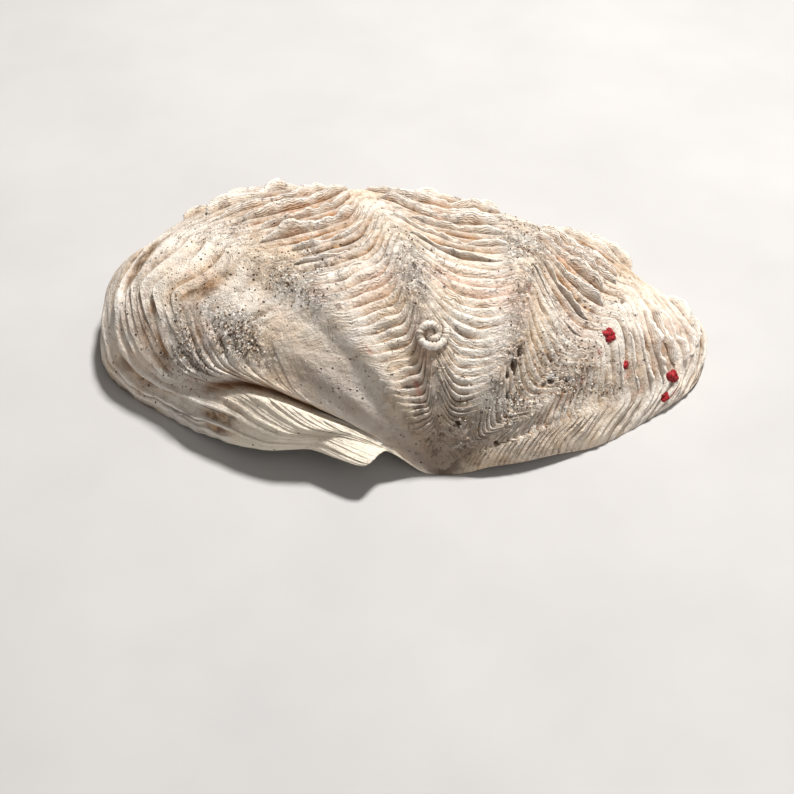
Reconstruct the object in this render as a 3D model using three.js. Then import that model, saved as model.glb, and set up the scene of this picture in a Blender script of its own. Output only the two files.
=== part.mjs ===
import * as THREE from 'three';

// One valve of a small giant clam, lying open side down, its beak toward -Y.
// Millimetres, +X along the length, +Y toward the scalloped free edge, +Z up.

const CENTRE = [0, 22];
const BEAK_ANGLE = 285;
const CROWN_HEIGHT = 70;
const CROWN_WALL = 9;
const EDGE_WALL = 5;
const CROWN_LEAN_ANGLE = 170;
const PROFILE_POWER = [2.3, 0.5];
const PROFILE_ROOT = [0.66, 0.12];
const RIB_HEIGHT = 3.4;
const SCUTE_HEIGHT = 5.5;
const LAMELLA_COUNT = 13;
const LAMELLA_HEIGHT = 1.5;
const TERRACE_COUNT = 7;
const TERRACE_HEIGHT = 1.3;
const CREASE_DEPTH = 5;
const LIP_FLARE = 5;
const ARCH_LIFT = 9;
const SCALLOP = 3.5;
const GAPE_LIFT = 15;
const HINGE_LIFT = 4.5;
const FOLD_STEPS = 5;
const GROWTH_STEPS = 40;
const INNER_EVERY = 4;
const PIECE_GAP = 0.5;

// distance from CENTRE to the free edge, one value for every 20 degrees from +X
const EDGE_REACH = [140, 130, 109, 93, 86, 87, 97, 117, 138, 134, 105, 89, 75, 69, 69, 78, 92, 113];

// Fold lines from the hinge edge round to the byssal gape.
// end: angle where the fold meets the edge; near, far: plan points that steer its path;
// rib and scute: how strongly the ridge or the stacked plates show; lift: rise of the edge.
const FOLDS = [
  { end: 352, rib: 0.0, scute: 0.0, lift: 0.0 },
  { end: 359, near: [62, -42], far: [110, -13], rib: 0.3, scute: 0.0, lift: 0.0 },
  { end: 368, near: [70, -38], far: [110, -4], rib: 0.0, scute: 0.5, lift: 0.4 },
  { end: 380, near: [76, -34], far: [94, 8], rib: 0.7, scute: 0.0, lift: 0.0 },
  { end: 396, near: [70, -30], far: [74, 28], rib: 0.0, scute: 1.0, lift: 0.9 },
  { end: 413, near: [60, -26], far: [52, 42], rib: 1.0, scute: 0.0, lift: 0.0 },
  { end: 442, near: [36, -16], far: [22, 44], rib: 0.0, scute: 1.0, lift: 1.0 },
  { end: 470, near: [14, -12], far: [-10, 44], rib: 1.0, scute: 0.0, lift: 0.0 },
  { end: 494, near: [-4, -18], far: [-26, 28], rib: 0.0, scute: 1.0, lift: 1.0 },
  { end: 514, near: [-16, -28], far: [-42, 8], rib: 0.8, scute: 0.1, lift: 0.0 },
  { end: 522, near: [-22, -34], far: [-62, 2], rib: 0.0, scute: 0.1, lift: 0.4 },
  { end: 530, near: [-26, -37], far: [-78, -8], rib: 0.4, scute: 0.0, lift: 0.0 },
  { end: 543, near: [-28, -40], far: [-78, -18], rib: 0.0, scute: 0.0, lift: 0.2 },
  { end: 557, near: [-24, -42], far: [-66, -24], rib: 0.0, scute: 0.0, lift: 0.0 },
  { end: 572, near: [-16, -44], far: [-48, -30], rib: 0.0, scute: 0.0, lift: 0.3 },
  { end: 592, near: [-4, -45], far: [-30, -38], rib: 0.0, scute: 0.0, lift: 0.75 },
  { end: 622, rib: 0.0, scute: 0.0, lift: 1.0 },
];
const LAST_FOLD = FOLDS.length - 1;

// crusts that grow on the valve: fold position, growth position, radius, height
const RED_CRUSTS = [
  { name: 'red_crust_upper', fold: 2.95, growth: 0.573, radius: 2.8, height: 1.5 },
  { name: 'red_crust_lower', fold: 1.1, growth: 0.787, radius: 3.2, height: 1.8 },
  { name: 'red_crust_edge', fold: 0.6, growth: 0.82, radius: 1.9, height: 1.0 },
  { name: 'red_crust_small', fold: 2.18, growth: 0.59, radius: 1.6, height: 0.9 },
];
const CRUST_SIDES = 10;
const WORM_TUBE = { fold: 6.88, growth: 0.245, sides: 8, steps: 40, turns: 1.4 };
const WORM_COIL = { radius: 4.8, pitch: 2.6, thick: 1.3, taper: 0.35, tail: 6 };

function shellMaterial() {
  return new THREE.MeshStandardMaterial({ color: 0xe6dccb, roughness: 0.75, metalness: 0 });
}

function wormTubeMaterial() {
  return new THREE.MeshStandardMaterial({ color: 0xd8d0c4, roughness: 0.8, metalness: 0 });
}

function redCrustMaterial() {
  return new THREE.MeshStandardMaterial({ color: 0xa3263a, roughness: 0.7, metalness: 0 });
}

function smooth(low, high, value) {
  const s = Math.min(1, Math.max(0, (value - low) / (high - low)));
  return s * s * (3 - 2 * s);
}

function spline(before, from, to, after, f) {
  const slope = to - before;
  const bend = 2 * before - 5 * from + 4 * to - after;
  const twist = 3 * from - before - 3 * to + after;
  return 0.5 * (2 * from + slope * f + bend * f * f + twist * f * f * f);
}

function edgeReach(angle) {
  const count = EDGE_REACH.length;
  const x = ((((angle % 360) + 360) % 360) * count) / 360;
  const i = Math.floor(x);
  const pick = (k) => EDGE_REACH[(i + k + count) % count];
  return spline(pick(-1), pick(0), pick(1), pick(2), x - i);
}

function edgePoint(angle) {
  const reach = edgeReach(angle);
  const a = THREE.MathUtils.degToRad(angle);
  return [CENTRE[0] + reach * Math.cos(a), CENTRE[1] + reach * Math.sin(a)];
}

// plan position of one fold line at growth t, 0 at the beak and 1 at the free edge
function foldPoint(index, t) {
  const fold = FOLDS[index];
  if (!fold.near) {
    return edgePoint(BEAK_ANGLE + (fold.end - BEAK_ANGLE - (index ? 360 : 0)) * t);
  }
  const start = edgePoint(BEAK_ANGLE);
  const end = edgePoint(fold.end);
  const s = 1 - t;
  return [0, 1].map((k) => s * s * s * start[k] + 3 * s * s * t * fold.near[k]
    + 3 * s * t * t * fold.far[k] + t * t * t * end[k]);
}

function alongFolds(u, read) {
  const i = Math.min(LAST_FOLD - 1, Math.floor(u));
  const pick = (k) => read(Math.min(LAST_FOLD, Math.max(0, i + k)));
  return spline(pick(-1), pick(0), pick(1), pick(2), u - i);
}

// between two folds the free edge keeps to its outline, and the inside follows it less and less
function planPoint(u, t) {
  const blend = (growth, k) => alongFolds(u, (index) => foldPoint(index, growth)[k]);
  const end = edgePoint(alongFolds(u, (index) => FOLDS[index].end));
  return [0, 1].map((k) => blend(t, k) + (end[k] - blend(1, k)) * t * t * t);
}

// height of the plain dome, for the outer face (wall 0) or the inner face
function domeHeight(x, y, crownWall, edgeWall) {
  const dx = x - CENTRE[0];
  const dy = y - CENTRE[1];
  const angle = THREE.MathUtils.radToDeg(Math.atan2(dy, dx));
  const share = Math.min(1, Math.hypot(dx, dy) / (edgeReach(angle) - edgeWall));
  const lean = Math.cos(THREE.MathUtils.degToRad(angle - CROWN_LEAN_ANGLE));
  const power = PROFILE_POWER[0] + PROFILE_POWER[1] * lean;
  const root = PROFILE_ROOT[0] - PROFILE_ROOT[1] * lean;
  return (CROWN_HEIGHT - crownWall) * Math.pow(1 - Math.pow(share, power), root);
}

// the edge arches up under the stacks of plates, along the byssal gape, and midway on the hinge side
function edgeLift(u, t) {
  const arch = Math.max(0, alongFolds(u, (index) => FOLDS[index].lift)) * smooth(0.1, 0.9, t);
  const gape = smooth(13.2, 14.6, u);
  const hinge = (1 - smooth(0, 2, u)) * smooth(0.05, 0.25, t) * (1 - smooth(0.45, 0.7, t));
  return arch * (ARCH_LIFT + (GAPE_LIFT - ARCH_LIFT) * gape) + HINGE_LIFT * hinge;
}

function lifted(z, u, t) {
  const low = 1 - Math.min(1, z / CROWN_HEIGHT);
  return z + edgeLift(u, t) * low * low;
}

function outwardNormal(x, y) {
  const step = 0.5;
  const slopeX = domeHeight(x + step, y, 0, 0) - domeHeight(x - step, y, 0, 0);
  const slopeY = domeHeight(x, y + step, 0, 0) - domeHeight(x, y - step, 0, 0);
  return new THREE.Vector3(-slopeX, -slopeY, 2 * step).normalize();
}

// one lamella rises slowly to its rim, then drops
function sawtooth(phase) {
  const f = phase - Math.floor(phase);
  return f < 0.72 ? f / 0.72 : (1 - f) / 0.28;
}

function ribRelief(u, t) {
  const rib = alongFolds(u, (index) => FOLDS[index].rib);
  return RIB_HEIGHT * rib * smooth(0.1, 0.3, t) * (1 - 0.7 * smooth(0.6, 0.85, t));
}

function lamellaRelief(u, t) {
  const stack = Math.max(0, alongFolds(u, (index) => FOLDS[index].scute));
  const growth = smooth(0.45, 0.7, t) * (1 - smooth(0.93, 1, t));
  const plates = SCUTE_HEIGHT * stack * growth;
  const fine = LAMELLA_HEIGHT * (0.4 + 0.6 * stack) * smooth(0.06, 0.2, t);
  const fade = (1 - smooth(9, 10, u)) * (1 - smooth(0.97, 1, t));
  return (plates * 0.45 + (fine + plates * 0.55) * sawtooth(LAMELLA_COUNT * t)) * fade;
}

function terraceRelief(u, t) {
  const band = smooth(9, 10, u) * (1 - smooth(14, 14.6, u));
  const fade = smooth(0.2, 0.4, t) * (1 - smooth(0.95, 1, t));
  return TERRACE_HEIGHT * band * fade * sawtooth(TERRACE_COUNT * t);
}

function creaseRelief(u, t) {
  const valley = Math.exp(-Math.pow((u - 14.4) / 0.5, 2));
  return -CREASE_DEPTH * valley * smooth(0.1, 0.45, t) * (1 - smooth(0.8, 1, t));
}

// the lip of the byssal gape flares level outward past the crease
function lipFlare(u, t, x, y) {
  const flare = smooth(14.4, 15, u) * (1 - smooth(15.55, 15.9, u)) * smooth(0.35, 0.6, t);
  const reach = new THREE.Vector3(x - CENTRE[0], y - CENTRE[1], 0).normalize();
  return reach.multiplyScalar(LIP_FLARE * flare);
}

// the free edge swings level outward under each stack of plates and inward at each ridge
function scallop(u, t, x, y) {
  const swing = alongFolds(u, (index) => FOLDS[index].scute - FOLDS[index].rib);
  const reach = new THREE.Vector3(x - CENTRE[0], y - CENTRE[1], 0).normalize();
  return reach.multiplyScalar(SCALLOP * swing * smooth(0.75, 1, t));
}

function outerPoint(u, t) {
  const [x, y] = planPoint(u, t);
  const height = lifted(domeHeight(x, y, 0, 0), u, t);
  const sideFade = smooth(0, 0.35, u) * (1 - smooth(LAST_FOLD - 0.35, LAST_FOLD, u));
  const edgeFade = 1 - smooth(0.96, 1, t);
  const growth = ribRelief(u, t) + lamellaRelief(u, t) + terraceRelief(u, t) + creaseRelief(u, t);
  const relief = growth * sideFade * edgeFade;
  const point = new THREE.Vector3(x, y, height).add(scallop(u, t, x, y));
  return point.addScaledVector(outwardNormal(x, y), relief).add(lipFlare(u, t, x, y));
}

function innerPoint(u, t) {
  const [x, y] = planPoint(u, t);
  const dx = x - CENTRE[0];
  const dy = y - CENTRE[1];
  const reach = edgeReach(THREE.MathUtils.radToDeg(Math.atan2(dy, dx)));
  const shrink = (reach - EDGE_WALL) / reach;
  const ix = CENTRE[0] + dx * shrink;
  const iy = CENTRE[1] + dy * shrink;
  const height = lifted(domeHeight(ix, iy, CROWN_WALL, EDGE_WALL), u, t);
  return new THREE.Vector3(ix, iy, height).add(scallop(u, t, x, y));
}

// growth steps lie closer together toward the steep free edge
function growthStops() {
  const stops = [];
  for (let k = 0; k <= GROWTH_STEPS; k += 1) {
    stops.push(1 - Math.pow(1 - k / GROWTH_STEPS, 1.35));
  }
  return stops;
}

function facePoints(pointAt, foldStops, stops) {
  const points = [pointAt(0, 0)];
  for (const u of foldStops) {
    for (const t of stops.slice(1)) {
      points.push(pointAt(u, t));
    }
  }
  return points;
}

// triangles of one skin; row i holds one fold line from the beak out
function skinTriangles(rows, columns, first, flip) {
  const at = (i, j) => (j === 0 ? first : first + 1 + i * (columns - 1) + j - 1);
  const triangles = [];
  const add = (a, b, c) => triangles.push(flip ? [a, c, b] : [a, b, c]);
  for (let i = 0; i < rows - 1; i += 1) {
    add(first, at(i, 1), at(i + 1, 1));
    for (let j = 1; j < columns - 1; j += 1) {
      add(at(i, j), at(i, j + 1), at(i + 1, j + 1));
      add(at(i, j), at(i + 1, j + 1), at(i + 1, j));
    }
  }
  return { triangles, at };
}

function rimLoop(at, rows, columns) {
  const loop = [];
  for (let j = 0; j < columns; j += 1) loop.push(at(0, j));
  for (let i = 1; i < rows; i += 1) loop.push(at(i, columns - 1));
  for (let j = columns - 2; j > 0; j -= 1) loop.push(at(rows - 1, j));
  return loop;
}

// the coarser inner skin, read at the nearest growth step of the outer one
function innerColumn(at) {
  return (i, j) => at(i, Math.round(j / INNER_EVERY));
}

function rimTriangles(outerLoop, innerLoop) {
  const rim = [];
  outerLoop.forEach((a, k) => {
    const next = (k + 1) % outerLoop.length;
    const b = outerLoop[next];
    const c = innerLoop[k];
    const d = innerLoop[next];
    rim.push([a, c, b]);
    if (c !== d) rim.push([b, c, d]);
  });
  return rim;
}

function meshFrom(points, triangles, material, name) {
  const geometry = new THREE.BufferGeometry();
  const values = points.flatMap((p) => [p.x, p.y, p.z]);
  geometry.setAttribute('position', new THREE.Float32BufferAttribute(values, 3));
  geometry.setIndex(triangles.flat());
  geometry.computeVertexNormals();
  const mesh = new THREE.Mesh(geometry, material);
  mesh.name = name;
  return mesh;
}

function valve() {
  const rows = LAST_FOLD * FOLD_STEPS + 1;
  const foldStops = Array.from({ length: rows }, (_, i) => i / FOLD_STEPS);
  const stops = growthStops();
  const outer = facePoints(outerPoint, foldStops, stops);
  const innerStops = stops.filter((_, j) => j % INNER_EVERY === 0);
  const inner = facePoints(innerPoint, foldStops, innerStops);
  const outerSkin = skinTriangles(rows, stops.length, 0, false);
  const innerSkin = skinTriangles(rows, innerStops.length, outer.length, true);
  const outerLoop = rimLoop(outerSkin.at, rows, stops.length);
  const innerLoop = rimLoop(innerColumn(innerSkin.at), rows, stops.length);
  const rim = rimTriangles(outerLoop, innerLoop);
  const triangles = [...outerSkin.triangles, ...innerSkin.triangles, ...rim];
  return meshFrom([...outer, ...inner], triangles, shellMaterial(), 'valve');
}

// where a ray toward the valve meets it, raised off the face by a distance
function onValve(valveMesh, origin, outward, distance) {
  const start = origin.clone().addScaledVector(outward, 15);
  const ray = new THREE.Raycaster(start, outward.clone().negate());
  const hit = ray.intersectObject(valveMesh)[0].point;
  return hit.addScaledVector(outward, distance);
}

// a point on the valve with the outward direction and two directions along the face
function seat(u, t) {
  const point = outerPoint(u, t);
  const [x, y] = planPoint(u, t);
  const outward = outwardNormal(x, y);
  const across = new THREE.Vector3(0, 0, 1).cross(outward).normalize();
  const along = outward.clone().cross(across);
  return { point, outward, across, along };
}

function besideSeat(place, angle, radius) {
  return place.point.clone()
    .addScaledVector(place.across, Math.cos(angle) * radius)
    .addScaledVector(place.along, Math.sin(angle) * radius);
}

// a low irregular dome seated on the valve
function redCrust(valveMesh, crust) {
  const place = seat(crust.fold, crust.growth);
  const ring = (share, rise) => Array.from({ length: CRUST_SIDES }, (_, k) => {
    const angle = (2 * Math.PI * k) / CRUST_SIDES;
    const radius = crust.radius * share * (1 + 0.12 * Math.sin(3 * angle + crust.fold));
    return onValve(valveMesh, besideSeat(place, angle, radius), place.outward, PIECE_GAP + rise);
  });
  const foot = onValve(valveMesh, place.point, place.outward, PIECE_GAP);
  const top = onValve(valveMesh, place.point, place.outward, PIECE_GAP + crust.height);
  const base = [ring(0.35, 0), ring(0.7, 0), ring(1, 0)];
  const rings = [...base, ring(0.9, 0.5 * crust.height), ring(0.5, 0.9 * crust.height)];
  return closedRings(foot, rings, top, redCrustMaterial(), crust.name);
}

// rings of equal count joined into one closed solid between two end points
function closedRings(first, rings, last, material, name) {
  const sides = rings[0].length;
  const points = [first, ...rings.flat(), last];
  const at = (ring, k) => 1 + ring * sides + (k % sides);
  const triangles = [];
  for (let k = 0; k < sides; k += 1) {
    triangles.push([0, at(0, k + 1), at(0, k)]);
    for (let ring = 0; ring < rings.length - 1; ring += 1) {
      triangles.push([at(ring, k), at(ring, k + 1), at(ring + 1, k + 1)]);
      triangles.push([at(ring, k), at(ring + 1, k + 1), at(ring + 1, k)]);
    }
    triangles.push([points.length - 1, at(rings.length - 1, k), at(rings.length - 1, k + 1)]);
  }
  return meshFrom(points, triangles, material, name);
}

// centre line of the coil: a straight tail, then turns that draw in
function coilPlace(place, share) {
  const total = WORM_TUBE.turns * 2 * Math.PI;
  const tailShare = 0.15;
  const angle = Math.max(0, (share - tailShare) / (1 - tailShare)) * total;
  const radius = WORM_COIL.radius - (WORM_COIL.pitch * angle) / (2 * Math.PI);
  const back = WORM_COIL.tail * Math.max(0, 1 - share / tailShare);
  const point = besideSeat(place, -angle, radius).addScaledVector(place.along, back);
  return { point, thick: WORM_COIL.thick - (WORM_COIL.taper * angle) / (2 * Math.PI) };
}

function wormTube(valveMesh) {
  const place = seat(WORM_TUBE.fold, WORM_TUBE.growth);
  const centres = Array.from({ length: WORM_TUBE.steps + 1 }, (_, k) => {
    const { point, thick } = coilPlace(place, k / WORM_TUBE.steps);
    const lift = PIECE_GAP + thick * 1.25;
    return { point: onValve(valveMesh, point, place.outward, lift), thick };
  });
  const rings = centres.map(({ point, thick }, k) => {
    const before = centres[Math.max(0, k - 1)].point;
    const after = centres[Math.min(centres.length - 1, k + 1)].point;
    const forward = after.clone().sub(before).normalize();
    const side = forward.clone().cross(place.outward).normalize();
    const up = forward.clone().cross(side);
    return Array.from({ length: WORM_TUBE.sides }, (_, j) => {
      const angle = (2 * Math.PI * j) / WORM_TUBE.sides;
      return point.clone()
        .addScaledVector(side, Math.cos(angle) * thick)
        .addScaledVector(up, Math.sin(angle) * thick);
    });
  });
  const ends = [centres[0].point, centres[centres.length - 1].point];
  return closedRings(ends[0], rings, ends[1], wormTubeMaterial(), 'worm_tube');
}

const group = new THREE.Group();
const valveMesh = valve();
group.add(valveMesh);
group.add(wormTube(valveMesh));
for (const crust of RED_CRUSTS) group.add(redCrust(valveMesh, crust));

// the origin is the middle of the footprint, on the surface the valve rests on
const box = new THREE.Box3().setFromObject(group);
const middle = box.getCenter(new THREE.Vector3());
group.position.set(-middle.x, -middle.y, -box.min.z);

export default group;
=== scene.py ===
import math
import bpy
import numpy as np
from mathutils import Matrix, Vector
from mathutils.bvhtree import BVHTree


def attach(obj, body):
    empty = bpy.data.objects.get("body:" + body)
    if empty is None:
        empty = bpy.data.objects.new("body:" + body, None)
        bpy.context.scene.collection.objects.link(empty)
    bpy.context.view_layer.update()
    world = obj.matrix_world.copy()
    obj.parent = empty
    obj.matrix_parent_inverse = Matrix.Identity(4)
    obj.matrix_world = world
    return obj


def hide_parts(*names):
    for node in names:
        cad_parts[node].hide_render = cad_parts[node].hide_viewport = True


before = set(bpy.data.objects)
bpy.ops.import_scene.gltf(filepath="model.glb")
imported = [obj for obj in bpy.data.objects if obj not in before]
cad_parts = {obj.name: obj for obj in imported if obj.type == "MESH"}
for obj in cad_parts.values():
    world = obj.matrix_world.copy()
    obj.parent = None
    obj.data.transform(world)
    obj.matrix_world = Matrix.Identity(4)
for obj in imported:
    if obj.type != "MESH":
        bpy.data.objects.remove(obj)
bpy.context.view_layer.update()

# -----------------------------------------------------------------
# The valve: one half of a clam, grown as a single piece of shell lime.  Fold
# lines fan out from the beak; every growth step left a lamella along the edge
# of that time, and toward the free edge the lamellae stand up as plates.
# Sizes are in millimetres and become metres when the mesh is made.
valve_centre = np.array([0.0, 22.0])
beak_angle = 285
crown_height = 70.0
crown_wall = 9.0
edge_wall = 5.0
crown_lean_angle = 170
rib_height = 4.2
arch_lift = 9.0
gape_lift = 15.0
hinge_lift = 4.5
edge_swing = 3.5
lip_flare = 6.0
lamella_count = 56
lamella_crowding = 1.5
rows_per_lamella = 5
lamella_phases = (0.0, 0.3, 0.58, 0.78, 0.9)
edge_wear = 2.2
crease_depth = 3.0
valley_depth = 5.0
valve_columns = 284
inner_every = 5

# distance from the centre to the free edge, every 20 degrees from +X
edge_reaches = np.array([140, 130, 109, 93, 86, 87, 97, 117, 138,
                         134, 105, 89, 75, 69, 69, 78, 92, 113], float)

# fold lines: angle at the edge, near and far steering points,
# ridge, stacked plates, rise of the edge
fold_lines = [
    (352, None, None, 0.0, 0.0, 0.0),
    (359, (62, -42), (110, -13), 0.3, 0.0, 0.0),
    (368, (70, -38), (110, -4), 0.0, 0.5, 0.4),
    (380, (76, -34), (94, 8), 0.7, 0.0, 0.0),
    (396, (70, -30), (74, 28), 0.0, 1.0, 0.9),
    (413, (60, -26), (52, 42), 1.0, 0.0, 0.0),
    (442, (36, -16), (22, 44), 0.0, 1.0, 1.0),
    (470, (14, -12), (-10, 44), 1.0, 0.0, 0.0),
    (494, (-4, -18), (-26, 28), 0.0, 1.0, 1.0),
    (514, (-16, -28), (-42, 8), 0.8, 0.1, 0.0),
    (522, (-22, -34), (-62, 2), 0.0, 0.1, 0.4),
    (530, (-26, -37), (-78, -8), 0.4, 0.0, 0.0),
    (543, (-28, -40), (-78, -18), 0.0, 0.0, 0.2),
    (557, (-24, -42), (-66, -24), 0.0, 0.0, 0.0),
    (572, (-16, -44), (-48, -30), 0.0, 0.0, 0.3),
    (592, (-4, -45), (-30, -38), 0.0, 0.0, 0.75),
    (622, None, None, 0.0, 0.0, 1.0),
]
last_fold = len(fold_lines) - 1
fold_ends = np.array([fold[0] for fold in fold_lines], float)
fold_ribs = np.array([fold[3] for fold in fold_lines])
fold_plates = np.array([fold[4] for fold in fold_lines])
fold_lifts = np.array([fold[5] for fold in fold_lines])


def ease(low, high, value):
    s = np.clip((value - low) / (high - low), 0, 1)
    return s * s * (3 - 2 * s)


def spline(before, start, end, after, f):
    slope = end - before
    bend = 2 * before - 5 * start + 4 * end - after
    twist = 3 * start - before - 3 * end + after
    return 0.5 * (2 * start + slope * f + bend * f * f + twist * f * f * f)


def edge_reach(angle):
    count = len(edge_reaches)
    x = (angle % 360) * count / 360
    i = np.floor(x).astype(int)
    picks = [edge_reaches[(i + k) % count] for k in (-1, 0, 1, 2)]
    return spline(*picks, x - i)


def edge_point(angle):
    reach = edge_reach(angle)
    turn = np.radians(angle)
    return valve_centre + np.stack([reach * np.cos(turn), reach * np.sin(turn)], -1)


def fold_path(index, t):
    end, near, far = fold_lines[index][:3]
    if near is None:
        full_turn = 360 if index else 0
        return edge_point(beak_angle + (end - beak_angle - full_turn) * t)
    s = 1 - t[..., None]
    t = t[..., None]
    start = edge_point(np.float64(beak_angle))
    finish = edge_point(np.float64(end))
    return s**3 * start + 3 * s * s * t * np.array(near) + 3 * s * t * t * np.array(far) + t**3 * finish


def along_folds(u, values):
    i = np.minimum(np.floor(u).astype(int), last_fold - 1)
    picks = [values[np.clip(i + k, 0, last_fold)] for k in (-1, 0, 1, 2)]
    return spline(*picks, u - i)


# plan position for fold places u and growth t of one shape
def plan_point(u, t):
    paths = np.stack([fold_path(k, t) for k in range(last_fold + 1)])
    ends = np.stack([fold_path(k, np.ones(1))[0] for k in range(last_fold + 1)])
    i = np.minimum(np.floor(u).astype(int), last_fold - 1)
    f = (u - i)[..., None]
    place = np.indices(u.shape)
    picks = []
    stops = []
    for k in (-1, 0, 1, 2):
        index = np.clip(i + k, 0, last_fold)
        picks.append(paths[(index, *place)])
        stops.append(ends[index])
    at_edge = edge_point(along_folds(u, fold_ends))
    return spline(*picks, f) + (at_edge - spline(*stops, f)) * (t**3)[..., None]


def dome_height(p, crown, edge):
    d = p - valve_centre
    angle = np.degrees(np.arctan2(d[..., 1], d[..., 0]))
    share = np.clip(np.hypot(d[..., 0], d[..., 1]) / (edge_reach(angle) - edge), 0, 1)
    lean = np.cos(np.radians(angle - crown_lean_angle))
    return (crown_height - crown) * (1 - share ** (2.3 + 0.5 * lean)) ** (0.66 - 0.12 * lean)


def edge_lift(u, t):
    arch = np.maximum(0, along_folds(u, fold_lifts)) * ease(0.1, 0.9, t)
    gape = ease(13.2, 14.6, u)
    hinge = (1 - ease(0, 2, u)) * ease(0.05, 0.25, t) * (1 - ease(0.45, 0.7, t))
    return arch * (arch_lift + (gape_lift - arch_lift) * gape) + hinge_lift * hinge


def lifted(z, u, t):
    low = 1 - np.minimum(1, z / crown_height)
    return z + edge_lift(u, t) * low * low


def outward(p):
    step = 0.5
    east = np.array([step, 0.0])
    north = np.array([0.0, step])
    slope_x = dome_height(p + east, 0, 0) - dome_height(p - east, 0, 0)
    slope_y = dome_height(p + north, 0, 0) - dome_height(p - north, 0, 0)
    n = np.stack([-slope_x, -slope_y, np.full(slope_x.shape, 2 * step)], -1)
    return n / np.linalg.norm(n, axis=-1, keepdims=True)


# level push away from the centre: scalloped edge, and the byssal lip's flare and tip
def level_push(u, t, p):
    swing = edge_swing * along_folds(u, fold_plates - fold_ribs) * ease(0.75, 1, t)
    flare = np.interp(u, [14.2, 14.9, 15.3, 15.6], [0, 0.45, 0.0, 0]) * ease(0.4, 0.9, t)
    tip = np.interp(u, [15.3, 15.8, 15.9, 15.97], [0, 1.4, 1.5, 0]) * ease(0.72, 0.98, t)
    reach = p - valve_centre
    reach = reach / np.linalg.norm(reach, axis=-1, keepdims=True)
    push = reach * (swing + lip_flare * (flare + tip))[..., None]
    return np.concatenate([push, np.zeros(push.shape[:-1] + (1,))], -1)


# fold place of the crease between the long slope and the byssal lip
def crease_fold(t):
    return 13.9 - 0.5 * ease(0.5, 0.8, t)


# how far the surface sinks into that crease, never through the floor
def crease_sink(z, u, t):
    away = u - crease_fold(t)
    across = ease(-0.9, -0.1, away) * (1 - ease(0.0, 0.65, away))
    return np.minimum(valley_depth * across * ease(0.15, 0.4, t) * (1 - ease(0.7, 0.95, t)), 0.6 * z)


def plain_surface(u, t):
    p = plan_point(u, t)
    z = lifted(dome_height(p, 0, 0), u, t)
    sink = crease_sink(z, u, t)
    return np.stack([p[..., 0], p[..., 1] + sink, z - sink], -1) + level_push(u, t, p), outward(p)


def inner_surface(u, t):
    p = plan_point(u, t)
    sink = crease_sink(lifted(dome_height(p, 0, 0), u, t), u, t)
    d = p - valve_centre
    reach = edge_reach(np.degrees(np.arctan2(d[..., 1], d[..., 0])))
    q = valve_centre + d * ((reach - edge_wall) / reach)[..., None]
    z = lifted(dome_height(q, crown_wall, edge_wall), u, t)
    return np.stack([q[..., 0], q[..., 1] + sink, z - sink], -1) + level_push(u, t, p)


# smooth random lumps between -1 and 1, one value for each point
def lumps(points, size, seed):
    p = points / size
    cell = np.floor(p).astype(np.int64)
    f = p - cell
    f = f * f * (3 - 2 * f)
    total = np.zeros(p.shape[:-1])
    for corner in range(8):
        bits = np.array([corner & 1, corner >> 1 & 1, corner >> 2 & 1])
        c = (cell + bits).astype(np.uint64)
        mixed = (c[..., 0] * np.uint64(73856093)) ^ (c[..., 1] * np.uint64(19349663))
        mixed = mixed ^ (c[..., 2] * np.uint64(83492791)) ^ np.uint64(seed * 2654435761)
        mixed = (mixed ^ (mixed >> np.uint64(15))) * np.uint64(2246822519)
        mixed = (mixed ^ (mixed >> np.uint64(13))) & np.uint64(0xFFFF)
        weight = np.prod(np.where(bits, f, 1 - f), -1)
        total += weight * (mixed.astype(float) / 32767.5 - 1)
    return total


def rough(points, size, seed):
    return lumps(points, size, seed) + 0.5 * lumps(points, size / 2, seed + 1) \
        + 0.25 * lumps(points, size / 4, seed + 2)


def arc_share(line):
    run = np.concatenate([[0], np.cumsum(np.linalg.norm(np.diff(line, axis=0), axis=1))])
    return run / run[-1]


# growth value for each row of the mesh: lamellae crowd together near the beak
def growth_rows():
    t = np.linspace(0, 1, 1200)
    share = arc_share(plain_surface(np.full(1200, 6.0), t)[0])
    places = [lamella + f for lamella in range(lamella_count) for f in lamella_phases]
    places = np.array(places + [lamella_count]) / lamella_count
    return np.interp(places ** lamella_crowding, share, t)


# fold place for each column, closer together over the middle folds
def fold_columns():
    u = np.linspace(0, last_fold, 1600)
    line = plain_surface(u, np.full(1600, 0.72))[0]
    pace = np.linalg.norm(np.diff(line, axis=0), axis=1)
    pace *= 1 + 0.7 * np.exp(-((u[1:] - 6.0) / 3.2) ** 2) + 1.5 * np.exp(-((u[1:] - 15.9) / 0.15) ** 2)
    run = np.concatenate([[0], np.cumsum(pace)])
    return np.interp(np.linspace(0, run[-1], valve_columns + 1), run, u)


# soft patches on the shell, each given as fold, growth, width across, length along, strength
def patches(u, t, spots):
    total = np.zeros(np.broadcast(u, t).shape)
    for fold, growth, wide, long, strength in spots:
        away = ((u - fold) / wide) ** 2 + ((t - growth) / long) ** 2
        total = np.maximum(total, strength * np.exp(-away))
    return total


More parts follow.
